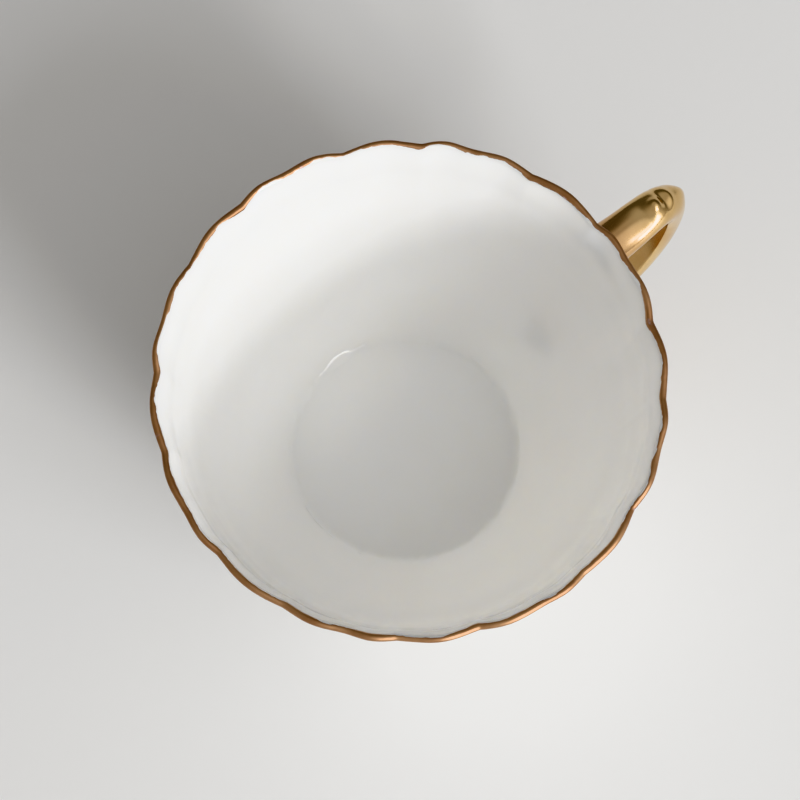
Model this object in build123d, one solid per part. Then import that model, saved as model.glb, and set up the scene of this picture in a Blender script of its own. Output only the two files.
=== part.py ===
from build123d import *

import os
from math import atan2, cos, degrees, hypot, radians, sin, sqrt

# A fine china teacup: a scalloped bowl on a low foot ring, with a looped handle.
# Origin on the bowl's axis, in the plane that the foot stands on. +Z up, +X towards the handle.

# ---- overall sizes, in millimetres ----
cup_height = 61.0
rim_radius = 47.5

# ---- bowl ----
underside_height = 5.6
floor_radius = 22.9
floor_thickness = 2.8
wall_low = 2.9
wall_mid = 1.8
lip_thickness = 1.3
wall_knee = 0.3

# ---- scalloped rim: three lobes of different width, repeated round the bowl; each lobe starts
# in a valley of its own depth ----
scallop_repeats = 8
scallop_turn = -1.5
lobe_shares = (0.2556, 0.4111, 0.3333)
valley_shares = (0.4, 0.8, 1.0)
scallop_depth = 0.75
scallop_wave = 0.9

# ---- foot ----
foot_radius = 23.6
foot_spread = 0.9
foot_width = 3.0
foot_edge_rounding = 0.9
seat_margin = 0.8

# ---- handle ----
handle_projection = 18.5
handle_drop = 8.6
handle_span = 33.0
handle_root_depth = 0.9
upper_root_width = 1.08
lower_root_width = 1.0
root_flare = 1.28
handle_width = 8.4
handle_thickness = 4.3
flat_cut = 32
thumb_rest_rise = 2.2

# ---- joints and gilding ----
slip_thickness = 0.3
gilding_thickness = 0.2
rim_band = 1.6
foot_band = 1.4

# Outer wall, from the seat of the foot up to the lip: share of the way out from seat to rim,
# share of the way up from underside to lip, and how much of the scallop and wave is left there.
outer_wall = (
    (0.00, 0.000, 0.00, 0.00),
    (0.18, 0.072, 0.00, 0.00),
    (0.37, 0.165, 0.05, 0.00),
    (0.56, 0.290, 0.15, 0.00),
    (0.72, 0.440, 0.27, 0.00),
    (0.83, 0.620, 0.40, 0.00),
    (0.90, 0.800, 0.65, 0.25),
    (0.95, 0.930, 0.90, 0.70),
)

# The handle follows the bowl: it hangs below the lip and reaches out past the rim.
handle_reach = rim_radius + handle_projection
handle_top = cup_height - handle_drop
handle_bottom = handle_top - handle_span

# Handle, from its upper root round the loop to its lower root: share of the way out from wall
# to reach, share of the way up from bottom to top, direction of the outer face in degrees,
# width and thickness as shares of the strap's, and share of the thumb rest's rise.
handle_course = (
    (0.12, 1.000, 87, 1.02, 1.10, 0.0),
    (0.30, 1.005, 93, 0.97, 1.00, 0.0),
    (0.48, 1.020, 92, 0.92, 1.00, 0.1),
    (0.62, 1.005, 80, 0.87, 1.05, 0.7),
    (0.72, 0.935, 58, 0.84, 1.12, 0.9),
    (0.765, 0.820, 28, 0.83, 1.18, 0.3),
    (0.770, 0.670, 4, 0.83, 1.20, 0.0),
    (0.735, 0.500, -20, 0.84, 1.20, 0.0),
    (0.635, 0.300, -42, 0.85, 1.18, 0.0),
    (0.470, 0.145, -60, 0.88, 1.16, 0.0),
    (0.260, 0.040, -80, 0.94, 1.17, 0.0),
)


def seat_radius():
    return foot_radius + seat_margin


def wall_point(out, up):
    """Radius and height of a place on the outer wall."""
    radius = seat_radius() + out * (rim_radius - seat_radius())
    height = underside_height + up * (cup_height - underside_height)
    return radius, height


def wall_thickness(up):
    """Wall thickness: thickest low down, thinnest at the lip."""
    if up < wall_knee:
        return wall_low + (wall_mid - wall_low) * up / wall_knee
    return wall_mid + (lip_thickness - wall_mid) * (up - wall_knee) / (1 - wall_knee)


def bowl_profile(outside, inside):
    """Stations round the wall's section: radius, height, scallop share and wave share.

    outside and inside thicken the wall by that much on each face.
    """
    places = [wall_point(out, up) for out, up, _, _ in outer_wall]
    top = (rim_radius, cup_height - lip_thickness / 2)
    outer = []
    inner = []
    for i, (_, up, flute, wave) in enumerate(outer_wall):
        low = places[max(i - 1, 0)]
        high = (places + [top])[i + 1]
        length = hypot(high[0] - low[0], high[1] - low[1])
        normal = ((high[1] - low[1]) / length, (low[0] - high[0]) / length)
        radius, height = places[i]
        if i == 0:
            outer.append((radius + outside, height, flute, wave))
            inner.append((floor_radius - inside, underside_height + floor_thickness + inside, 0, 0))
            continue
        outer.append((radius + normal[0] * outside, height + normal[1] * outside, flute, wave))
        step = wall_thickness(up) + inside
        inner.append((radius - normal[0] * step, height - normal[1] * step, flute, wave))
    lip = [
        (rim_radius + outside, top[1], 1, 1),
        (rim_radius - lip_thickness / 2 + (outside - inside) / 2, cup_height + max(outside, inside), 1, 1),
        (rim_radius - lip_thickness - inside, top[1], 1, 1),
    ]
    return outer + lip + inner[::-1]


def scalloped_ring(radius, height, flute, wave):
    """One closed ring of arcs, one arc for each lobe; the arcs meet in the valleys."""
    period = 360 / scallop_repeats
    arcs = []
    start = scallop_turn - period * lobe_shares[0] / 2
    for _ in range(scallop_repeats):
        for i, share in enumerate(lobe_shares):
            end = start + period * share
            low, high = valley_shares[i], valley_shares[(i + 1) % len(valley_shares)]
            arcs.append(
                ThreePointArc(
                    valley_point(radius, start, height, low * flute, low * wave),
                    polar(radius, (start + end) / 2, height),
                    valley_point(radius, end, height, high * flute, high * wave),
                ).edge()
            )
            start = end
    return Wire(arcs)


def valley_point(radius, angle, height, flute, wave):
    return polar(radius - scallop_depth * flute, angle, height - scallop_wave * wave)


def polar(radius, angle, height):
    return Vector(radius * cos(radians(angle)), radius * sin(radians(angle)), height)


def bowl_solid(outside=0.0, inside=0.0):
    """The bowl: its wall from underside over the lip to the floor, closed by flat discs."""
    rings = [scalloped_ring(*station) for station in bowl_profile(outside, inside)]
    return Solid.make_loft(rings)


def foot_ring_solid(grow=0.0):
    """Low ring that flares a little towards the table, with a rounded standing edge."""
    top = underside_height - slip_thickness
    outer_foot = foot_radius + foot_spread + grow
    inner_foot = foot_radius - foot_width - grow
    rounding = foot_edge_rounding
    corner = rounding * (1 - sqrt(0.5))
    section = Polyline(
        (inner_foot, rounding), (inner_foot, top), (foot_radius + grow, top), (outer_foot, rounding)
    )
    standing = Line((inner_foot + rounding, 0), (outer_foot - rounding, 0))
    edges = section.edges() + [
        standing.edge(),
        ThreePointArc(
            (inner_foot, rounding),
            (inner_foot + corner, corner),
            (inner_foot + rounding, 0),
        ).edge(),
        ThreePointArc(
            (outer_foot - rounding, 0),
            (outer_foot - corner, corner),
            (outer_foot, rounding),
        ).edge(),
    ]
    face = Plane.XZ * Face(Wire(edges))
    return revolve(face, Axis.Z)


def foot_slip_solid():
    """Layer of slip that joins the foot ring to the bowl's underside."""
    ring = Circle(foot_radius) - Circle(foot_radius - foot_width)
    return extrude(Pos(0, 0, underside_height - slip_thickness) * ring, slip_thickness)


def wall_at(height):
    """Radius and slope of the outer wall at a height, between the stations that shape it."""
    places = [wall_point(out, up) for out, up, _, _ in outer_wall]
    for low, high in zip(places, places[1:]):
        if low[1] <= height <= high[1]:
            share = (height - low[1]) / (high[1] - low[1])
            slope = degrees(atan2(high[1] - low[1], high[0] - low[0]))
            return low[0] + (high[0] - low[0]) * share, slope
    return rim_radius, 90


def handle_section(x, z, turn, width, thickness, grow):
    """Rounded section with a flat cut across it on the side of the fingers."""
    outward = Vector(cos(radians(turn)), 0, sin(radians(turn)))
    half_height = (thickness + 2 * grow) / (1 + sin(radians(flat_cut)))
    centre = Vector(x, 0, z) + outward * (half_height * sin(radians(flat_cut)) - grow)
    plane = Plane(centre, x_dir=(0, 1, 0), z_dir=(outward.Z, 0, -outward.X))
    curve = plane * EllipticalCenterArc(
        (0, 0), width / 2 + grow, half_height, start_angle=-flat_cut, arc_size=180 + 2 * flat_cut
    )
    return Wire([curve.edge(), Line(curve @ 1, curve @ 0).edge()])


def handle_stations():
    """Places of the handle's sections, with the roots set into the wall."""
    upper_wall, upper_slope = wall_at(handle_top)
    lower_wall, lower_slope = wall_at(handle_bottom)
    rise = handle_top - handle_bottom
    strap = handle_width
    root_thickness = handle_thickness * root_flare
    upper_root = upper_wall - handle_root_depth
    lower_root = lower_wall - handle_root_depth
    stations = [(upper_root, handle_top, upper_slope, strap * upper_root_width, root_thickness)]
    for out, up, turn, width, thick, rest in handle_course:
        wall = lower_wall + (upper_wall - lower_wall) * up
        x = wall + out * (handle_reach - wall)
        z = handle_bottom + up * rise
        depth = handle_thickness * thick + thumb_rest_rise * rest
        stations.append((x, z, turn, strap * width, depth))
    stations.append(
        (lower_root, handle_bottom, lower_slope - 180, strap * lower_root_width, root_thickness)
    )
    return stations


def handle_loft(grow=0.0):
    return Solid.make_loft([handle_section(*station, grow) for station in handle_stations()])


def outside_piece(shape):
    """The piece of a cut that lies outside the bowl: the one furthest out towards the handle."""
    return max(shape.solids(), key=lambda piece: piece.center().X)


def joint_pieces(shape):
    """The two larger pieces of a cut, the lower one first: the layers of slip at the two roots."""
    pieces = sorted(shape.solids(), key=lambda piece: piece.volume)[-2:]
    return sorted(pieces, key=lambda piece: piece.center().Z)


def build():
    bowl = bowl_solid()
    joint_skin = bowl_solid(outside=slip_thickness)
    core = handle_loft()
    foot = foot_ring_solid()

    handle = outside_piece(core - joint_skin)
    lower_slip, upper_slip = joint_pieces((core & joint_skin) - bowl)
    gilt_sleeve = handle_loft(gilding_thickness) - core
    handle_gilding = outside_piece(gilt_sleeve - bowl)

    gilt_bowl = bowl_solid(outside=gilding_thickness, inside=gilding_thickness)
    band_floor = cup_height - scallop_wave - rim_band
    across = 2 * (rim_radius + handle_projection)
    above = Pos(0, 0, band_floor + cup_height / 2) * Box(across, across, cup_height)
    rim_gilding = (gilt_bowl & above) - bowl

    foot_zone = Pos(0, 0, foot_edge_rounding + foot_band / 2) * Box(across, across, foot_band)
    hole = Cylinder(foot_radius - foot_width / 2, cup_height)
    foot_gilding = ((foot_ring_solid(gilding_thickness) & foot_zone) - foot) - hole

    return {
        "bowl": bowl,
        "foot_ring": foot,
        "foot_slip": foot_slip_solid(),
        "handle": handle,
        "lower_handle_slip": lower_slip,
        "upper_handle_slip": upper_slip,
        "handle_gilding": handle_gilding,
        "rim_gilding": rim_gilding,
        "foot_gilding": foot_gilding,
    }


os.makedirs("parts", exist_ok=True)
for name, shape in build().items():
    export_step(shape, f"parts/{name}.step")
    print(name, shape.bounding_box().size)
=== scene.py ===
from math import atan2, cos, hypot, pi, radians, sin

import bmesh
import bpy
from mathutils import Matrix, Vector, noise


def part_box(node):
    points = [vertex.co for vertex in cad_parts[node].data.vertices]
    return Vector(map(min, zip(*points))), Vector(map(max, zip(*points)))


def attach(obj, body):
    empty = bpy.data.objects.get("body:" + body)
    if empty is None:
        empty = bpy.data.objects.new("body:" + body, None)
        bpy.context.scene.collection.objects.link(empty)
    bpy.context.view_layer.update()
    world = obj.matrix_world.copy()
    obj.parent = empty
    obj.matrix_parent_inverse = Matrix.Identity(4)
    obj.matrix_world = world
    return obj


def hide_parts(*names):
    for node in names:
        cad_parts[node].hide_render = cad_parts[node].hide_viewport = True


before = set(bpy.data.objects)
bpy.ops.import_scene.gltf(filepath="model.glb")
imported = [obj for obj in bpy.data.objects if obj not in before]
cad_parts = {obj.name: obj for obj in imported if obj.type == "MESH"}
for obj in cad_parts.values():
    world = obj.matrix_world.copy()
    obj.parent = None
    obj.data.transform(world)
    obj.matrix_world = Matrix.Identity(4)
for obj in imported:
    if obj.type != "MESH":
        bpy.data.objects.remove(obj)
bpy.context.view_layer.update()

mm = 0.001

# ---------- places taken from the frame ----------
bowlLow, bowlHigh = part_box("bowl")
footLow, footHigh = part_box("foot_ring")
seamLow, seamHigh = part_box("foot_slip")
rimRadius = (bowlHigh.y - bowlLow.y) / 2
rimHeight = bowlHigh.z
undersideHeight = bowlLow.z
footRadius = seamHigh.x
print("frame read: rim radius", round(rimRadius / mm, 2), "mm, height", round(rimHeight / mm, 2), "mm")


# ---------- small helpers ----------
def easedPath(stations, steps):
    # a smooth run through the stations, every channel at once, with no overshoot at sharp changes
    count = len(stations)
    spans = [max(hypot(*(b - a for a, b in zip(stations[i][:2], stations[i + 1][:2]))), 1e-9)
             for i in range(count - 1)]
    slopes = []
    for i in range(count):
        if i == 0 or i == count - 1:
            near = 0 if i == 0 else count - 2
            slopes.append([(b - a) / spans[near] for a, b in zip(stations[near], stations[near + 1])])
            continue
        before, after = spans[i - 1], spans[i]
        slopes.append([
            ((b - a) / before * after + (c - b) / after * before) / (before + after)
            for a, b, c in zip(stations[i - 1], stations[i], stations[i + 1])
        ])
    path = [tuple(stations[0])]
    for i in range(count - 1):
        span = spans[i]
        for step in range(1, steps[i] + 1):
            t = step / steps[i]
            h00, h10 = 2 * t**3 - 3 * t**2 + 1, t**3 - 2 * t**2 + t
            h01, h11 = -2 * t**3 + 3 * t**2, t**3 - t**2
            path.append(tuple(
                h00 * a + h10 * span * m + h01 * b + h11 * span * n
                for a, m, b, n in zip(stations[i], slopes[i], stations[i + 1], slopes[i + 1])
            ))
    return path


def meshPiece(name, verts, faces, weights=None):
    # a mesh object at the origin; weights holds point attributes by name
    data = bpy.data.meshes.new(name)
    data.from_pydata(verts, [], faces)
    for key, values in (weights or {}).items():
        data.attributes.new(key, "FLOAT", "POINT").data.foreach_set("value", values)
    work = bmesh.new()
    work.from_mesh(data)
    bmesh.ops.recalc_face_normals(work, faces=work.faces)
    work.to_mesh(data)
    work.free()
    data.shade_smooth()
    piece = bpy.data.objects.new(name, data)
    bpy.context.scene.collection.objects.link(piece)
    return piece


def ringFaces(rings, around, joinEnds=False):
    # faces between neighbouring rings of points, and from the last ring to the first if asked
    faces = []
    for i in range(rings if joinEnds else rings - 1):
        low, high = i * around, ((i + 1) % rings) * around
        for j in range(around):
            k = (j + 1) % around
            faces.append((low + j, low + k, high + k, high + j))
    return faces


def poleFaces(pole, first, around):
    # a fan that closes one ring
    return [(first + j, first + (j + 1) % around, pole) for j in range(around)]


def ringGrid(rows, angles, closed=False, joinEnds=False):
    # rows of (radius, height, ...) turned round the axis; closed puts a pole at both ends
    around = len(angles)
    verts = [(row[0] * cos(a), row[0] * sin(a), row[1]) for row in rows for a in angles]
    faces = ringFaces(len(rows), around, joinEnds)
    owner = [i for i in range(len(rows)) for _ in range(around)]
    for i in (0, len(rows) - 1) if closed else ():
        faces += poleFaces(len(verts), i * around, around)
        verts.append((0, 0, rows[i][1]))
        owner.append(i)
    return verts, faces, owner


# ---------- the scalloped shape, as Geometry Nodes ----------
def link(tree, source, target):
    tree.links.new(source, target)


def mathNode(tree, operation, *values):
    node = tree.nodes.new("ShaderNodeMath")
    node.operation = operation
    for socket, value in zip(node.inputs, values):
        if isinstance(value, bpy.types.NodeSocket):
            link(tree, value, socket)
        else:
            socket.default_value = value
    return node.outputs[0]


def readWeight(tree, name):
    node = tree.nodes.new("GeometryNodeInputNamedAttribute")
    node.data_type = "FLOAT"
    node.inputs["Name"].default_value = name
    return node.outputs["Attribute"]


def vectorNode(tree, operation, *values):
    node = tree.nodes.new("ShaderNodeVectorMath")
    node.operation = operation
    for value, socket in zip(values, node.inputs):
        link(tree, value, socket)
    return node


def scallopTree():
    tree = bpy.data.node_groups.new("scallopedTurning", "GeometryNodeTree")
    face = tree.interface
    face.new_socket("Geometry", in_out="INPUT", socket_type="NodeSocketGeometry")
    for label in ("Repeats", "Turn", "Small Lobe", "Wide Lobe", "Shallow Valley", "Middle Valley",
                  "Scallop Depth", "Rim Wave", "Hand Wander", "Crease Wander", "Seed"):
        face.new_socket(label, in_out="INPUT", socket_type="NodeSocketFloat")
    face.new_socket("Finish", in_out="INPUT", socket_type="NodeSocketMaterial")
    face.new_socket("Geometry", in_out="OUTPUT", socket_type="NodeSocketGeometry")
    given = tree.nodes.new("NodeGroupInput").outputs

    def plus(a, b):
        return mathNode(tree, "ADD", a, b)

    def minus(a, b):
        return mathNode(tree, "SUBTRACT", a, b)

    def times(a, b):
        return mathNode(tree, "MULTIPLY", a, b)

    parts = tree.nodes.new("ShaderNodeSeparateXYZ")
    link(tree, tree.nodes.new("GeometryNodeInputPosition").outputs[0], parts.inputs[0])
    x, y = parts.outputs[0], parts.outputs[1]
    turned = minus(mathNode(tree, "ARCTAN2", y, x), given["Turn"])
    periods = times(turned, mathNode(tree, "DIVIDE", given["Repeats"], 2 * pi))
    share = mathNode(tree, "FRACT", plus(periods, times(given["Small Lobe"], 0.5)))

    # each lobe falls from its crown to a valley at both ends; the three valleys differ in depth
    small, shallow, middle = given["Small Lobe"], given["Shallow Valley"], given["Middle Valley"]
    wideEnd = plus(small, given["Wide Lobe"])
    pastSmall = mathNode(tree, "GREATER_THAN", share, small)
    pastWide = mathNode(tree, "GREATER_THAN", share, wideEnd)
    roundShare, swellShare = 0.45, 0.55
    drop = None
    for start, end, first, second, within in (
            (0.0, small, shallow, middle, minus(1.0, pastSmall)),
            (small, wideEnd, middle, 1.0, minus(pastSmall, pastWide)),
            (wideEnd, 1.0, 1.0, shallow, pastWide)):
        t = mathNode(tree, "DIVIDE", minus(share, start), minus(end, start))
        fromMiddle = mathNode(tree, "ABSOLUTE", minus(times(t, 2.0), 1.0))
        arc = mathNode(tree, "POWER", fromMiddle, 2.0)
        swell = plus(0.5, times(mathNode(tree, "COSINE", times(t, 2 * pi)), 0.5))
        fall = plus(times(arc, roundShare), times(swell, swellShare))
        depth = plus(first, times(t, minus(second, first)))
        lobe = times(within, times(fall, depth))
        drop = lobe if drop is None else plus(drop, lobe)

    # slow unevenness round the rim, as a hand-finished casting has
    flat = tree.nodes.new("ShaderNodeCombineXYZ")
    link(tree, x, flat.inputs[0])
    link(tree, y, flat.inputs[1])
    heading = vectorNode(tree, "NORMALIZE", flat.outputs[0]).outputs[0]

    def wander(scale, shift):
        # about -1 to 1, from the direction round the axis
        ripple = tree.nodes.new("ShaderNodeTexNoise")
        ripple.noise_dimensions = "4D"
        ripple.inputs["Scale"].default_value = scale
        ripple.inputs["Detail"].default_value = 2
        link(tree, heading, ripple.inputs["Vector"])
        link(tree, plus(given["Seed"], shift), ripple.inputs["W"])
        return times(minus(ripple.outputs[0], 0.5), 4.0)

    flute, wave, crease = (readWeight(tree, name) for name in ("flute", "wave", "crease"))
    unevenDrop = times(drop, plus(1.0, times(wander(3.1, 0.0), 0.45)))
    inward = times(times(unevenDrop, given["Scallop Depth"]), flute)
    handInward = times(times(wander(1.9, 7.0), given["Hand Wander"]), flute)
    creaseIn = times(times(wander(4.5, 3.0), given["Crease Wander"]), crease)
    outward = times(plus(plus(inward, handInward), creaseIn), -1.0)
    down = times(times(unevenDrop, given["Rim Wave"]), wave)
    handDown = times(times(wander(2.3, 11.0), given["Hand Wander"]), wave)
    upward = times(plus(down, handDown), -1.0)

    sideways = vectorNode(tree, "SCALE", heading)
    link(tree, outward, sideways.inputs["Scale"])
    lift = tree.nodes.new("ShaderNodeCombineXYZ")
    link(tree, upward, lift.inputs[2])
    both = vectorNode(tree, "ADD", sideways.outputs[0], lift.outputs[0])

    move = tree.nodes.new("GeometryNodeSetPosition")
    link(tree, given["Geometry"], move.inputs["Geometry"])
    link(tree, both.outputs[0], move.inputs["Offset"])
    real = tree.nodes.new("GeometryNodeRealizeInstances")
    link(tree, move.outputs[0], real.inputs[0])
    paint = tree.nodes.new("GeometryNodeSetMaterial")
    link(tree, real.outputs[0], paint.inputs["Geometry"])
    link(tree, given["Finish"], paint.inputs["Material"])
    link(tree, paint.outputs[0], tree.nodes.new("NodeGroupOutput").inputs[0])
    return tree


scallops = {
    "Repeats": 8.0,
    "Turn": radians(-1.5),
    "Small Lobe": 0.2556,
    "Wide Lobe": 0.4111,
    "Shallow Valley": 0.4,
    "Middle Valley": 0.8,
    "Scallop Depth": 0.75 * mm,
    "Rim Wave": 0.8 * mm,
    "Hand Wander": 0.10 * mm,
    "Crease Wander": 0.6 * mm,
    "Seed": 4.0,
}


def scalloped(piece, tree, finish):
    # shapes the turned grid, then keeps the result as a plain mesh
    modifier = piece.modifiers.new("scallops", "NODES")
    modifier.node_group = tree
    sockets = {item.name: item.identifier for item in tree.interface.items_tree if item.in_out == "INPUT"}
    for label, value in scallops.items():
        modifier[sockets[label]] = value
    modifier[sockets["Finish"]] = finish
    shaped = bpy.data.meshes.new_from_object(piece.evaluated_get(bpy.context.evaluated_depsgraph_get()))
    piece.modifiers.clear()
    piece.data = shaped
    shaped.shade_smooth()
    return piece


lobeColumns = (18, 30, 24)


def lobeAngles():
    # columns that land in every valley: each lobe has its own number of them
    shares = (scallops["Small Lobe"], scallops["Wide Lobe"],
              1 - scallops["Small Lobe"] - scallops["Wide Lobe"])
    period = 2 * pi / scallops["Repeats"]
    angles = []
    start = scallops["Turn"] - period * shares[0] / 2
    for _ in range(int(scallops["Repeats"])):
        for count, share in zip(lobeColumns, shares):
            angles += [start + period * share * k / count for k in range(count)]
            start += period * share
    return angles


# ---------- shared effects, as shader node groups ----------
def effectGroup(name, inputs, outputs):
    group = bpy.data.node_groups.new(name, "ShaderNodeTree")
    for label, value in inputs.items():
        socket = group.interface.new_socket(label, in_out="INPUT", socket_type="NodeSocketFloat")
        socket.default_value = value
    for label in outputs:
        group.interface.new_socket(label, in_out="OUTPUT", socket_type="NodeSocketFloat")
    given = group.nodes.new("NodeGroupInput").outputs
    result = group.nodes.new("NodeGroupOutput").inputs
    where = group.nodes.new("ShaderNodeTexCoord").outputs["Object"]
    return group, given, result, where


def noiseNode(tree, where, scale, detail=3.0, rough=0.55, stretch=None):
    texture = tree.nodes.new("ShaderNodeTexNoise")
    if stretch:
        mapping = tree.nodes.new("ShaderNodeMapping")
        mapping.inputs["Scale"].default_value = stretch
        link(tree, where, mapping.inputs["Vector"])
        where = mapping.outputs[0]
    link(tree, where, texture.inputs["Vector"])
    if isinstance(scale, bpy.types.NodeSocket):
        link(tree, scale, texture.inputs["Scale"])
    else:
        texture.inputs["Scale"].default_value = scale
    texture.inputs["Detail"].default_value = detail
    texture.inputs["Roughness"].default_value = rough
    return texture.outputs[0]


def stepNode(tree, value, low, high):
    node = tree.nodes.new("ShaderNodeMapRange")
    node.interpolation_type = "SMOOTHSTEP"
    link(tree, value, node.inputs["Value"])
    for label, limit in (("From Min", low), ("From Max", high)):
        if isinstance(limit, bpy.types.NodeSocket):
            link(tree, limit, node.inputs[label])
        else:
            node.inputs[label].default_value = limit
    return node.outputs[0]


def potteryMottle():
    # slow cloudiness and the faint ripple that a dipped glaze dries with
    group, given, result, where = effectGroup("potteryMottle", {"Cloud Scale": 30, "Ripple Scale": 160},
                                              ("Cloud", "Ripple"))
    link(group, noiseNode(group, where, given["Cloud Scale"], 3), result["Cloud"])
    link(group, noiseNode(group, where, given["Ripple Scale"], 1.5, 0.4), result["Ripple"])
    return group


def strayDots():
    # sparse pinholes and dust: a few round dots of uneven size
    group, given, result, where = effectGroup(
        "strayDots", {"Spacing": 90, "Share": 0.05, "Dot": 0.06}, ("Mask",))
    cells = group.nodes.new("ShaderNodeTexVoronoi")
    link(group, where, cells.inputs["Vector"])
    link(group, given["Spacing"], cells.inputs["Scale"])
    pick = group.nodes.new("ShaderNodeSeparateColor")
    link(group, cells.outputs["Color"], pick.inputs[0])
    chosen = mathNode(group, "LESS_THAN", pick.outputs[0], given["Share"])
    size = mathNode(group, "MULTIPLY", given["Dot"], mathNode(group, "ADD", 0.4, pick.outputs[1]))
    inside = mathNode(group, "LESS_THAN", cells.outputs["Distance"], size)
    link(group, mathNode(group, "MULTIPLY", chosen, inside), result["Mask"])
    return group


def brushedGold():
    # brush streaks, thin places and rubbed spots in painted gold
    group, given, result, where = effectGroup(
        "brushedGold", {"Streak Scale": 900, "Patch Scale": 120, "Rubbed": 0.62},
        ("Streak", "Thin", "Bare"))
    link(group, noiseNode(group, where, given["Streak Scale"], 2, 0.6, (1, 1, 0.35)), result["Streak"])
    patches = noiseNode(group, where, given["Patch Scale"], 4, 0.6)
    link(group, stepNode(group, patches, 0.35, 0.7), result["Thin"])
    link(group, stepNode(group, patches, given["Rubbed"], mathNode(group, "ADD", given["Rubbed"], 0.07)),
         result["Bare"])
    return group


effects = {"mottle": potteryMottle(), "dots": strayDots(), "gold": brushedGold()}
print("shared effects built:", ", ".join(effects))


def placeEffect(tree, key, **values):
    node = tree.nodes.new("ShaderNodeGroup")
    node.node_tree = effects[key]
    for label, value in values.items():
        node.inputs[label.replace("_", " ")].default_value = value
    return node.outputs


def colourMix(tree, share, first, second):
    mix = tree.nodes.new("ShaderNodeMix")
    mix.data_type = "RGBA"
    for value, socket in ((share, mix.inputs[0]), (first, mix.inputs[6]), (second, mix.inputs[7])):
        if isinstance(value, bpy.types.NodeSocket):
            link(tree, value, socket)
        elif isinstance(value, tuple):
            socket.default_value = (*value, 1)
        else:
            socket.default_value = value
    return mix.outputs[2]


def bumpNode(tree, height, depth, strength):
    bump = tree.nodes.new("ShaderNodeBump")
    bump.inputs["Distance"].default_value = depth
    bump.inputs["Strength"].default_value = strength
    link(tree, height, bump.inputs["Height"])
    return bump.outputs[0]


def newFinish(name):
    finish = bpy.data.materials.new(name)
    finish.use_nodes = True
    tree = finish.node_tree
    return finish, tree, tree.nodes["Principled BSDF"].inputs


# ---------- finishes ----------
def glazedChina():
    look = {"white": (0.935, 0.930, 0.912), "cream": (0.915, 0.906, 0.880), "speck": (0.35, 0.31, 0.26),
            "roughLeast": 0.02, "roughSpread": 0.06, "refraction": 1.52,
            "seeThrough": 0.6, "reach": (4.0 * mm, 3.7 * mm, 3.2 * mm)}
    finish, tree, skin = newFinish("glazedChina")
    mottle = placeEffect(tree, "mottle", Cloud_Scale=38, Ripple_Scale=210)
    specks = placeEffect(tree, "dots", Spacing=150, Share=0.010, Dot=0.045)
    body = colourMix(tree, stepNode(tree, mottle["Cloud"], 0.35, 0.75), look["white"], look["cream"])
    link(tree, colourMix(tree, specks["Mask"], body, look["speck"]), skin["Base Color"])
    cloudy = mathNode(tree, "MULTIPLY", mottle["Cloud"], look["roughSpread"])
    link(tree, mathNode(tree, "ADD", look["roughLeast"], cloudy), skin["Roughness"])
    link(tree, bumpNode(tree, mottle["Ripple"], 0.05 * mm, 0.6), skin["Normal"])
    skin["IOR"].default_value = look["refraction"]
    skin["Subsurface Weight"].default_value = look["seeThrough"]
    skin["Subsurface Radius"].default_value = look["reach"]
    skin["Subsurface Scale"].default_value = 1.0
    return finish


def paintedGold(name, leaf, shadow, bareSpot, rubbed, rough):
    finish, tree, skin = newFinish(name)
    gold = placeEffect(tree, "gold", Streak_Scale=rough["streak"], Patch_Scale=rough["patch"],
                       Rubbed=rubbed)
    tone = colourMix(tree, gold["Thin"], leaf, shadow)
    if "paintedShadeNearCup" in rough:
        # painted shade: the gold turns browner towards the cup, standing in for the shade and dim
        # reflections between the handle root and the cup wall
        place = tree.nodes.new("ShaderNodeSeparateXYZ")
        link(tree, tree.nodes.new("ShaderNodeTexCoord").outputs["Object"], place.inputs[0])
        nearness = stepNode(tree, place.outputs[0], rimRadius + 12 * mm, rimRadius - 2 * mm)
        tone = colourMix(tree, mathNode(tree, "MULTIPLY", nearness, 0.75), tone, rough["paintedShadeNearCup"])
    link(tree, colourMix(tree, gold["Bare"], tone, bareSpot), skin["Base Color"])
    worn = mathNode(tree, "MULTIPLY", gold["Bare"], 0.7)
    link(tree, mathNode(tree, "SUBTRACT", 1.0, worn), skin["Metallic"])
    uneven = mathNode(tree, "MULTIPLY", gold["Streak"], rough["spread"])
    link(tree, mathNode(tree, "ADD", rough["least"], uneven), skin["Roughness"])
    link(tree, bumpNode(tree, gold["Streak"], rough["relief"], 0.5), skin["Normal"])
    return finish


def firedBiscuit():
    # the bare standing edge and the joints: unglazed, a little grey from use
    look = {"clean": (0.80, 0.77, 0.71), "worn": (0.52, 0.49, 0.44)}
    finish, tree, skin = newFinish("firedBiscuit")
    mottle = placeEffect(tree, "mottle", Cloud_Scale=260, Ripple_Scale=2200)
    link(tree, colourMix(tree, stepNode(tree, mottle["Cloud"], 0.45, 0.75), look["clean"], look["worn"]),
         skin["Base Color"])
    link(tree, bumpNode(tree, mottle["Ripple"], 0.04 * mm, 0.8), skin["Normal"])
    skin["Roughness"].default_value = 0.7
    return finish


china = glazedChina()
biscuit = firedBiscuit()
rimGold = paintedGold("rimGold", (0.48, 0.285, 0.16), (0.36, 0.195, 0.105), (0.50, 0.38, 0.40), 0.66,
                      {"streak": 1400, "patch": 150, "least": 0.30, "spread": 0.30, "relief": 0.03 * mm})
handleGold = paintedGold("handleGold", (0.80, 0.585, 0.30), (0.70, 0.47, 0.22), (0.72, 0.60, 0.45), 0.80,
                         {"streak": 700, "patch": 90, "least": 0.12, "spread": 0.10, "relief": 0.012 * mm,
                          # the last entry is painted shade: a browner gold mixed in near the cup
                          "paintedShadeNearCup": (0.62, 0.36, 0.19)})
print("finishes ready")


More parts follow.
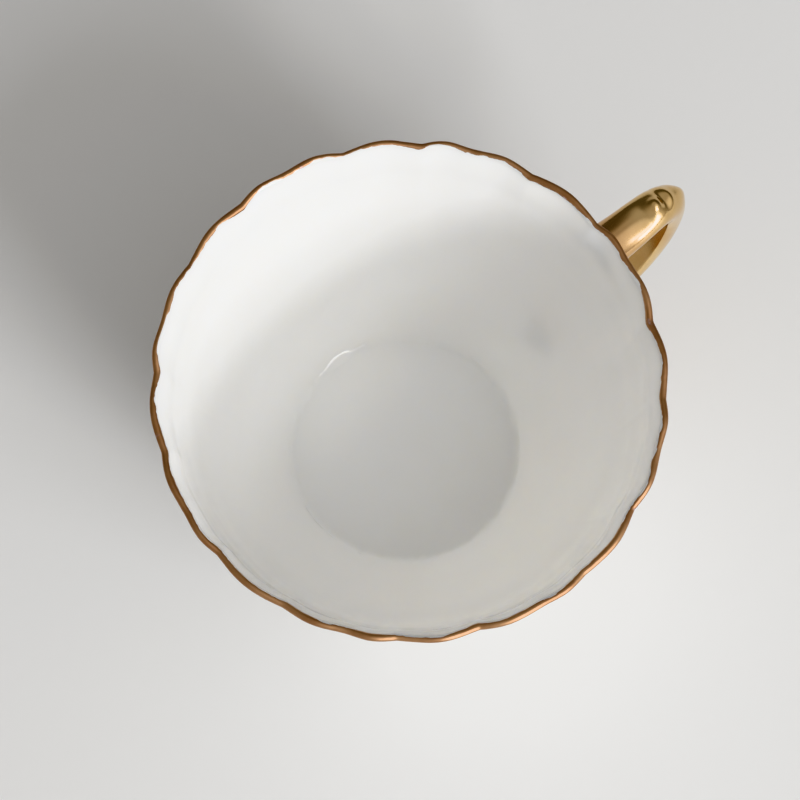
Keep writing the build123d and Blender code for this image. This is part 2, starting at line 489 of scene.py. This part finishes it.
# ---------- bowl ----------
bowl = {
    "floorRadius": 22.9 * mm,
    "floorThickness": 2.8 * mm,
    "seatRadius": footRadius + 0.8 * mm,
    "lipThickness": 1.3 * mm,
    "wallMid": 1.8 * mm,
    "wallLow": 2.9 * mm,
    # way out from seat to rim, way up from underside to lip, scallop share, wave share
    "outside": (
        (0.00, 0.000, 0.00, 0.00), (0.18, 0.072, 0.00, 0.00), (0.37, 0.165, 0.05, 0.00),
        (0.56, 0.290, 0.12, 0.00), (0.72, 0.440, 0.22, 0.00), (0.83, 0.620, 0.36, 0.02),
        (0.90, 0.800, 0.60, 0.25), (0.95, 0.930, 0.90, 0.70),
    ),
    "innerScallop": 0.6,
    "innerScallopAtLip": 0.85,
}


def wallAt(up):
    knee = 0.3
    if up < knee:
        return bowl["wallLow"] + (bowl["wallMid"] - bowl["wallLow"]) * up / knee
    return bowl["wallMid"] + (bowl["lipThickness"] - bowl["wallMid"]) * (up - knee) / (1 - knee)


def bowlSection():
    # outer and inner stations of the wall: radius, height, scallop, wave
    lip = bowl["lipThickness"]
    crownRadius = rimRadius + 0.05 * mm
    seat = bowl["seatRadius"]
    tall = rimHeight - undersideHeight
    places = [(seat + out * (crownRadius - seat), undersideHeight + up * tall, flute, wave)
              for out, up, flute, wave in bowl["outside"]]
    top = (crownRadius, rimHeight - lip / 2, 1, 1)
    inner = []
    for i, place in enumerate(places[1:], 1):
        low, high = places[i - 1], (places + [top])[i + 1]
        length = hypot(high[0] - low[0], high[1] - low[1])
        step = wallAt(bowl["outside"][i][1])
        below = i < len(places) - 1
        inner.append((place[0] - (high[1] - low[1]) / length * step,
                      place[1] + (high[0] - low[0]) / length * step,
                      place[2] * (bowl["innerScallop"] if below else bowl["innerScallopAtLip"]), place[3]))
    return places, top, inner


def lipArc(top, lip, count):
    # half round over the lip, from the outer face to the inner one
    return [(top[0] - lip / 2 + cos(a) * lip / 2, top[1] + sin(a) * lip / 2, 1, 1)
            for a in (pi * k / count for k in range(count + 1))]


def bowlRows():
    places, top, inner = bowlSection()
    lip = bowl["lipThickness"]
    floorHeight = undersideHeight + bowl["floorThickness"]
    seat = bowl["seatRadius"]
    underside = [(seat * share, undersideHeight + 0.15 * mm * (1 - share**2), 0, 0, 0)
                 for share in (0.12, 0.3, 0.5, 0.7, 0.85, 0.95)]
    outer = easedPath(places + [top], [6, 6, 6, 6, 6, 7, 7, 5])
    over = lipArc(top, lip, 14)[1:-1]
    innerLip = (top[0] - lip, top[1], 1, 1)
    crease = (bowl["floorRadius"], floorHeight, 0.05, 0)
    beforeCrease = (crease[0] + 0.62 * mm, crease[1] + 0.52 * mm, 0.05, 0)
    down = easedPath([innerLip] + inner[::-1] + [beforeCrease], [5, 7, 7, 7, 6, 6, 6, 8])
    # a small round where the wall meets the floor
    bend = []
    for k in range(1, 7):
        t = k / 7
        near, far = beforeCrease, (crease[0] - 0.85 * mm, crease[1] - 0.01 * mm)
        bend.append(((1 - t)**2 * near[0] + 2 * t * (1 - t) * crease[0] + t**2 * far[0],
                     (1 - t)**2 * near[1] + 2 * t * (1 - t) * crease[1] + t**2 * far[1], 0.05, 0))
    creaseAt = len(underside) + len(outer) + len(over) + len(down)
    floor = [(crease[0] * share, crease[1] - 0.10 * mm * (1 - share), 0, 0)
             for share in (0.96, 0.93, 0.88, 0.80, 0.70, 0.58, 0.45, 0.32, 0.2, 0.1)]
    rows = underside + outer + over + down + bend + floor
    weights = {"flute": [r[2] for r in rows], "wave": [r[3] for r in rows], "crease": [0.0] * len(rows)}
    for i in range(len(rows)):
        away = (i - creaseAt - 2.5) / 4.0
        if i > creaseAt - 10:
            weights["crease"][i] = max(0.0, 1 - away * away)
    return rows, weights


def makeBowl(tree):
    rows, weights = bowlRows()
    verts, faces, owner = ringGrid(rows, lobeAngles(), closed=True)
    perPoint = {key: [values[i] for i in owner] for key, values in weights.items()}
    piece = meshPiece("chinaBowl", verts, faces, perPoint)
    scalloped(piece, tree, china)
    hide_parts("bowl")
    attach(piece, "root")
    print("bowl:", len(piece.data.polygons), "faces")
    return piece


# ---------- gilt band over the lip ----------
rimBand = {
    "skin": 0.05 * mm,
    "buried": 0.10 * mm,
    "outside": 1.15 * mm,
    "inside": 0.68 * mm,
    "outsideWander": 0.30 * mm,
    "insideWander": 0.85 * mm,
    # grain of the wander: scale, place in the noise, roughness, gap between octaves, octaves
    "outsideGrain": (5, (3, 1, 9), 0.6, 2.2, 4),
    "insideGrain": (6, (8, 2, 5), 0.7, 2.3, 5),
    "rowsAcross": 18,
}


def bandSection(steps):
    # a fine run of places over the lip: distance along, place, normal, weights
    places, top, inner = bowlSection()
    lip = bowl["lipThickness"]
    outer = easedPath(places[-2:] + [top], [40, 24])
    down = easedPath([(top[0] - lip, top[1], 1, 1), inner[-1], inner[-2]], [24, 40])
    run = outer + lipArc(top, lip, steps)[1:-1] + down
    lengths = [0.0]
    for a, b in zip(run, run[1:]):
        lengths.append(lengths[-1] + hypot(b[0] - a[0], b[1] - a[1]))
    crest = lengths[len(outer) + steps // 2 - 1]
    return run, [d - crest for d in lengths]


def alongBand(run, lengths, distance):
    for i in range(1, len(run)):
        if lengths[i] >= distance or i == len(run) - 1:
            a, b = run[i - 1], run[i]
            t = (distance - lengths[i - 1]) / (lengths[i] - lengths[i - 1])
            length = hypot(b[0] - a[0], b[1] - a[1])
            normal = ((b[1] - a[1]) / length, (a[0] - b[0]) / length)
            return [p + (q - p) * t for p, q in zip(a, b)], normal


def edgeWander(ring, grain):
    scale, place, rough, gap, octaves = grain
    return noise.fractal(ring * scale + Vector(place), rough, gap, octaves)


def makeRimBand(tree):
    run, lengths = bandSection(24)
    angles = lobeAngles()
    around, across = len(angles), rimBand["rowsAcross"]
    verts, weights = [], {"flute": [], "wave": [], "crease": []}
    half = bowl["lipThickness"] * pi / 4
    for a in angles:
        ring = Vector((cos(a), sin(a), 0))
        outWander = rimBand["outsideWander"] * edgeWander(ring, rimBand["outsideGrain"])
        outEdge = -half - rimBand["outside"] - outWander
        inEdge = rimBand["inside"] + rimBand["insideWander"] * edgeWander(ring, rimBand["insideGrain"])
        inEdge = min(max(inEdge, half * 0.2), half * 1.7)
        for side in (1, -1):
            order = range(across) if side == 1 else range(across - 1, -1, -1)
            for k in order:
                share = k / (across - 1)
                place, normal = alongBand(run, lengths, outEdge + (inEdge - outEdge) * share)
                edge = min(share, 1 - share) * (across - 1) / 2
                rise = rimBand["skin"] * min(1.0, edge) - 0.02 * mm * (1 - min(1.0, edge))
                offset = rise if side == 1 else -rimBand["buried"]
                radius = place[0] + normal[0] * offset
                verts.append((radius * cos(a), radius * sin(a), place[1] + normal[1] * offset))
                weights["flute"].append(place[2])
                weights["wave"].append(place[3])
                weights["crease"].append(0.0)
    faces = ringFaces(around, across * 2, joinEnds=True)
    piece = meshPiece("rimGilding", verts, faces, weights)
    scalloped(piece, tree, rimGold)
    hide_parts("rim_gilding")
    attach(piece, "root")
    print("rim band:", len(piece.data.polygons), "faces")
    return piece


# ---------- handle ----------
handle = {
    "skin": 0.15 * mm,
    "backing": 0.01 * mm,
    "drop": 8.6 * mm,
    "span": 33.0 * mm,
    "projection": 18.5 * mm,
    "rootDepth": 0.9 * mm,
    "upperRootWidth": 1.08,
    "lowerRootWidth": 1.0,
    "rootFlare": 1.28,
    "width": 8.4 * mm,
    "thickness": 4.3 * mm,
    "thumbRise": 2.2 * mm,
    "flatCut": 32,
    "fingerHollow": 0.10 * mm,
    "around": 80,
    "stepsPerSpan": 16,
    # from the upper root round to the lower one: way out from wall to reach, way up from bottom
    # to top, direction of the outer face in degrees, width, thickness, share of the thumb rise, squareness
    "course": (
        (0.12, 1.000, 87, 1.02, 1.10, 0.0, 1.00),
        (0.30, 1.005, 93, 0.97, 1.00, 0.0, 0.95),
        (0.48, 1.020, 92, 0.92, 1.00, 0.1, 0.97),
        (0.62, 1.005, 80, 0.86, 1.05, 0.6, 0.97),
        (0.72, 0.935, 58, 0.80, 1.12, 0.8, 1.00),
        (0.765, 0.820, 28, 0.78, 1.18, 0.3, 1.00),
        (0.770, 0.670, 4, 0.80, 1.20, 0.0, 0.97),
        (0.738, 0.500, -20, 0.83, 1.20, 0.0, 0.95),
        (0.640, 0.300, -42, 0.86, 1.18, 0.0, 0.95),
        (0.475, 0.145, -60, 0.89, 1.16, 0.0, 0.95),
        (0.260, 0.040, -80, 0.94, 1.17, 0.0, 0.95),
    ),
    # modelling of the thumb rest, in mm along the crest from the upper root and across it:
    # place along, half length, place across, half width, height
    "relief": (
        (5.8, 4.6, 0.0, 1.5, 0.35),
        (9.6, 1.7, 0.3, 2.2, -0.20),
        (12.6, 1.5, -0.2, 1.35, 1.10),
        (15.0, 0.8, 0.2, 2.2, -0.50),
        (16.8, 0.8, 0.0, 1.9, 0.30),
        (22.5, 3.5, 0.0, 1.2, 0.45),
    ),
}


def wallAtHeight(height):
    # radius and slope of the outer wall
    places, top, _ = bowlSection()
    run = easedPath(places + [top], [8] * len(places))
    for low, high in zip(run, run[1:]):
        if low[1] <= height <= high[1]:
            share = (height - low[1]) / (high[1] - low[1])
            return low[0] + (high[0] - low[0]) * share, atan2(high[1] - low[1], high[0] - low[0])
    return rimRadius, pi / 2


def handleStations():
    topPlace = rimHeight - handle["drop"]
    bottomPlace = topPlace - handle["span"]
    reach = rimRadius + handle["projection"]
    upperWall, upperSlope = wallAtHeight(topPlace)
    lowerWall, lowerSlope = wallAtHeight(bottomPlace)
    wide, thick = handle["width"], handle["thickness"]
    stations = [(upperWall - handle["rootDepth"], topPlace, upperSlope,
                 wide * handle["upperRootWidth"], thick * handle["rootFlare"], 1.0)]
    for out, up, turn, width, depth, rest, square in handle["course"]:
        wall = lowerWall + (upperWall - lowerWall) * up
        stations.append((wall + out * (reach - wall), bottomPlace + up * handle["span"], radians(turn),
                         wide * width, thick * depth + handle["thumbRise"] * rest, square))
    stations.append((lowerWall - handle["rootDepth"], bottomPlace, lowerSlope - pi,
                     wide * handle["lowerRootWidth"], thick * handle["rootFlare"], 1.0))
    return stations


def reliefAt(along, across):
    height = 0.0
    for place, halfLength, side, halfWidth, rise in handle["relief"]:
        far = ((along / mm - place) / halfLength) ** 2 + ((across / mm - side) / halfWidth) ** 2
        if far < 9:
            height += rise * mm * 2.718 ** -far
    return height


def handleRings(grow):
    stations = handleStations()
    cut = radians(handle["flatCut"])
    count = handle["around"]
    curved = count * 4 // 5
    rings = []
    along, lastCrest = 0.0, None
    path = easedPath(stations, [handle["stepsPerSpan"]] * (len(stations) - 1))
    for x, z, turn, width, thick, square in path:
        outward = Vector((cos(turn), 0, sin(turn)))
        half = width / 2 + grow
        high = (thick + 2 * grow) / (1 + sin(cut))
        centre = Vector((x, 0, z)) + outward * (high * sin(cut) - grow)
        crest = centre + outward * high
        along += (crest - lastCrest).length if lastCrest else 0.0
        lastCrest = crest
        ring = []
        for k in range(curved + 1):
            a = -cut + (pi + 2 * cut) * k / curved
            c, d = cos(a), sin(a)
            if d > 0:
                c, d = (1 if c > 0 else -1) * abs(c) ** square, d ** square
            place = centre + Vector((0, half * c, 0)) + outward * high * d
            if d > 0:
                normal = (Vector((0, c / half, 0)) + outward * d / high).normalized()
                place += normal * reliefAt(along, half * c) * min(1.0, 3 * d)
            ring.append(place)
        near, far = ring[-1], ring[0]
        # the side of the fingers: flat, with a slight hollow
        for k in range(1, count - curved):
            t = k / (count - curved)
            ring.append(near.lerp(far, t) + outward * handle["fingerHollow"] * sin(pi * t))
        rings.append(ring)
    return rings


def ringVerts(rings):
    return [tuple(place) for ring in rings for place in ring]


def tubeMesh(rings):
    # rings closed at both ends by a pole
    around = len(rings[0])
    verts = ringVerts(rings)
    faces = ringFaces(len(rings), around)
    for i in (0, len(rings) - 1):
        faces += poleFaces(len(verts), i * around, around)
        verts.append(tuple(sum(rings[i], Vector()) / around))
    return verts, faces


def makeHandle():
    core = meshPiece("handleCore", *tubeMesh(handleRings(0.0)))
    core.data.materials.append(china)
    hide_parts("handle")
    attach(core, "root")
    # the gilding is a thin shell: outer face, inner face, and a strip that joins them at each root
    outer, inner = handleRings(handle["skin"]), handleRings(handle["backing"])
    shell = outer + inner[::-1]
    faces = ringFaces(len(shell), len(outer[0]), joinEnds=True)
    gilding = meshPiece("handleGilding", ringVerts(shell), faces)
    gilding.data.materials.append(handleGold)
    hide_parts("handle_gilding")
    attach(gilding, "root")
    print("handle:", len(gilding.data.polygons), "faces in the gilding")


# ---------- foot ----------
foot = {"width": 3.0 * mm, "spread": 0.9 * mm, "rounding": 0.9 * mm, "columns": 288,
        "bandLow": 0.9 * mm, "band": 1.4 * mm, "skin": 0.05 * mm, "backing": 0.12 * mm,
        "bead": 0.9 * mm, "biscuitRise": 0.22 * mm}


def arcPoints(centre, radius, start, end, count):
    return [(centre[0] + radius * cos(start + (end - start) * k / count),
             centre[1] + radius * sin(start + (end - start) * k / count)) for k in range(count + 1)]


def footOutline():
    top = footHigh.z
    outer, inner, r = footHigh.x, footRadius - foot["width"], foot["rounding"]
    standing = arcPoints((outer - r, footLow.z + r), r, 0, -pi / 2, 8)
    standing += [(outer - r - (outer - inner - 2 * r) * k / 4, footLow.z) for k in range(1, 4)]
    standing += arcPoints((inner + r, footLow.z + r), r, -pi / 2, -pi, 8)
    rise = [(outer + (footRadius - outer) * (1 - (1 - k / 10) ** 1.6),
             footLow.z + r + (top - r) * k / 10) for k in range(10, 0, -1)]
    back = [(inner, footLow.z + r + (top - r) * k / 6) for k in range(1, 7)]
    return rise + standing + back


def turned(name, outline, columns):
    angles = [2 * pi * k / columns for k in range(columns)]
    verts, faces, _ = ringGrid(outline, angles, joinEnds=True)
    return meshPiece(name, verts, faces)


def makeFoot():
    ring = turned("footRing", footOutline(), foot["columns"])
    ring.data.materials.append(china)
    ring.data.materials.append(biscuit)
    for polygon in ring.data.polygons:
        if polygon.center.z < footLow.z + foot["biscuitRise"]:
            polygon.material_index = 1
    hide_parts("foot_ring")
    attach(ring, "root")

    rise = footOutline()[:11]
    low, high = footLow.z + foot["bandLow"], footLow.z + foot["bandLow"] + foot["band"]
    heights = [low + (high - low) * k / 10 for k in range(11)]

    def radiusAt(height):
        for (r0, z0), (r1, z1) in zip(rise, rise[1:]):
            if z1 <= height <= z0:
                return r1 + (r0 - r1) * (height - z1) / (z0 - z1)
        return rise[-1][0]

    face = [(radiusAt(z) + foot["skin"] * min(1, 3 * min(k, 10 - k) / 10), z)
            for k, z in enumerate(heights)]
    backing = [(radiusAt(z) - foot["backing"], z) for z in heights[::-1]]
    band = turned("footGilding", face + backing, foot["columns"])
    band.data.materials.append(rimGold)
    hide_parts("foot_gilding")
    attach(band, "root")

    # slip that joins foot and bowl, wiped to a small hollow bead on both sides
    seam, b = footHigh.z, foot["bead"]
    outside, inside = footRadius, footRadius - foot["width"]
    quarter = [pi / 2 * k / 6 for k in range(7)]
    outline = [(outside - 0.1 * mm, seam - 0.5 * b)]
    outline += [(outside + b - b * sin(a), undersideHeight - 0.45 * b * cos(a)) for a in quarter[::-1]]
    outline += [(outside + b, undersideHeight + 0.25 * mm), (inside - b, undersideHeight + 0.1 * mm)]
    outline += [(inside - b + b * sin(a), undersideHeight - 0.45 * b * cos(a)) for a in quarter]
    outline += [(inside + 0.1 * mm, seam - 0.5 * b)]
    bead = turned("footSlip", outline, foot["columns"])
    bead.data.materials.append(china)
    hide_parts("foot_slip")
    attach(bead, "root")
    print("foot: ring, band and slip")


def makeSlips():
    # the two handle joints keep their own shape, under the gilding
    for node in ("upper_handle_slip", "lower_handle_slip"):
        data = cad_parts[node].data
        data.materials.clear()
        data.materials.append(biscuit)


shapeTree = scallopTree()
makeBowl(shapeTree)
makeRimBand(shapeTree)
makeHandle()
makeFoot()
makeSlips()


# ---------- table, light and camera ----------
studio = {
    "tableHalf": 2.5,
    "tableColour": (0.80, 0.80, 0.798),
    "window": {"turn": 271.0, "rise": 22.0, "distance": 2.4, "size": (0.75, 0.6), "power": 42.0},
    "highPane": {"turn": 279.0, "rise": 40.0, "distance": 1.6, "size": (0.7, 0.3), "power": 5.5},
    "glow": (0.92, 0.915, 0.90),
    "glowTurn": 284.0,
    "glowRise": 46.0,
    "roomTurn": 238.0,
    "roomNear": (0.50, 0.488, 0.472),
    "roomFar": (0.10, 0.091, 0.082),
    "ceiling": (0.47, 0.458, 0.44),
}


def tablePaint():
    finish, tree, skin = newFinish("tablePaint")
    mottle = placeEffect(tree, "mottle", Cloud_Scale=6, Ripple_Scale=420)
    deep = tuple(c * 0.985 for c in studio["tableColour"])
    link(tree, colourMix(tree, mottle["Cloud"], studio["tableColour"], deep), skin["Base Color"])
    link(tree, bumpNode(tree, mottle["Ripple"], 0.05 * mm, 0.3), skin["Normal"])
    skin["Roughness"].default_value = 0.55
    return finish


def makeTable():
    half = studio["tableHalf"]
    piece = meshPiece("tableTop", [(-half, -half, 0), (half, -half, 0), (half, half, 0), (-half, half, 0)],
                      [(0, 1, 2, 3)])
    piece.data.materials.append(tablePaint())


def aimAt(thing, place, target, roll=0.0):
    forward = (Vector(target) - Vector(place)).normalized()
    turn = forward.to_track_quat("-Z", "Y").to_matrix() @ Matrix.Rotation(roll, 3, "Z")
    thing.matrix_world = Matrix.Translation(place) @ turn.to_4x4()


def softLight(name):
    look = studio[name]
    lamp = bpy.data.lights.new(name, "AREA")
    lamp.shape = "RECTANGLE"
    lamp.size, lamp.size_y = look["size"]
    lamp.energy = look["power"]
    lamp.color = (0.99, 0.995, 1.0)
    thing = bpy.data.objects.new(name, lamp)
    bpy.context.scene.collection.objects.link(thing)
    turn, rise = radians(look["turn"]), radians(look["rise"])
    away = Vector((cos(turn) * cos(rise), sin(turn) * cos(rise), sin(rise))) * look["distance"]
    aimAt(thing, away, (0, 0, 0.03))


def dimRoom():
    # a dim room: lighter towards the window, darkest opposite it, an even ceiling
    world = bpy.data.worlds.new("dimRoom")
    world.use_nodes = True
    tree = world.node_tree
    turn = radians(studio["roomTurn"])
    heading = tree.nodes.new("ShaderNodeTexCoord").outputs["Generated"]
    facing = tree.nodes.new("ShaderNodeVectorMath")
    facing.operation = "DOT_PRODUCT"
    facing.inputs[1].default_value = (cos(turn), sin(turn), 0)
    link(tree, heading, facing.inputs[0])
    parts = tree.nodes.new("ShaderNodeSeparateXYZ")
    link(tree, heading, parts.inputs[0])
    nearness = stepNode(tree, facing.outputs["Value"], -0.7, 0.8)
    walls = colourMix(tree, nearness, studio["roomFar"], studio["roomNear"])
    room = colourMix(tree, stepNode(tree, parts.outputs[2], 0.45, 0.85), walls, studio["ceiling"])
    # a pale glow high up on the window's side
    turn, rise = radians(studio["glowTurn"]), radians(studio["glowRise"])
    towards = tree.nodes.new("ShaderNodeVectorMath")
    towards.operation = "DOT_PRODUCT"
    towards.inputs[1].default_value = (cos(turn) * cos(rise), sin(turn) * cos(rise), sin(rise))
    link(tree, heading, towards.inputs[0])
    room = colourMix(tree, stepNode(tree, towards.outputs["Value"], 0.68, 1.0), room, studio["glow"])
    link(tree, room, tree.nodes["Background"].inputs["Color"])
    tree.nodes["Background"].inputs["Strength"].default_value = 1.0
    bpy.context.scene.world = world


viewpoint = {
    "turn": -40.8,
    "rise": 76.0,
    "roll": 3.0,
    "distance": 0.468,
    "across": 1.83 * mm,
    "above": 2.85 * mm,
    "spread": 17.78,
}


def makeCamera():
    turn, rise = radians(viewpoint["turn"]), radians(viewpoint["rise"])
    forward = Vector((-sin(turn) * cos(rise), cos(turn) * cos(rise), -sin(rise)))
    side = Vector((cos(turn), sin(turn), 0))
    up = side.cross(forward)
    roll = radians(viewpoint["roll"])
    right = side * cos(roll) + up * sin(roll)
    upward = up * cos(roll) - side * sin(roll)
    rimCentre = Vector((0, 0, rimHeight))
    place = rimCentre - forward * viewpoint["distance"]
    place -= right * viewpoint["across"] + upward * viewpoint["above"]
    data = bpy.data.cameras.new("viewCamera")
    data.sensor_fit = "HORIZONTAL"
    data.angle = radians(viewpoint["spread"])
    data.clip_start = 0.01
    camera = bpy.data.objects.new("viewCamera", data)
    bpy.context.scene.collection.objects.link(camera)
    turnMatrix = Matrix((right, upward, -forward)).transposed()
    camera.matrix_world = Matrix.Translation(place) @ turnMatrix.to_4x4()
    bpy.context.scene.camera = camera


makeTable()
softLight("window")
softLight("highPane")
dimRoom()
makeCamera()
bpy.context.scene.view_settings.view_transform = "Khronos PBR Neutral"
print("table, light and camera set")
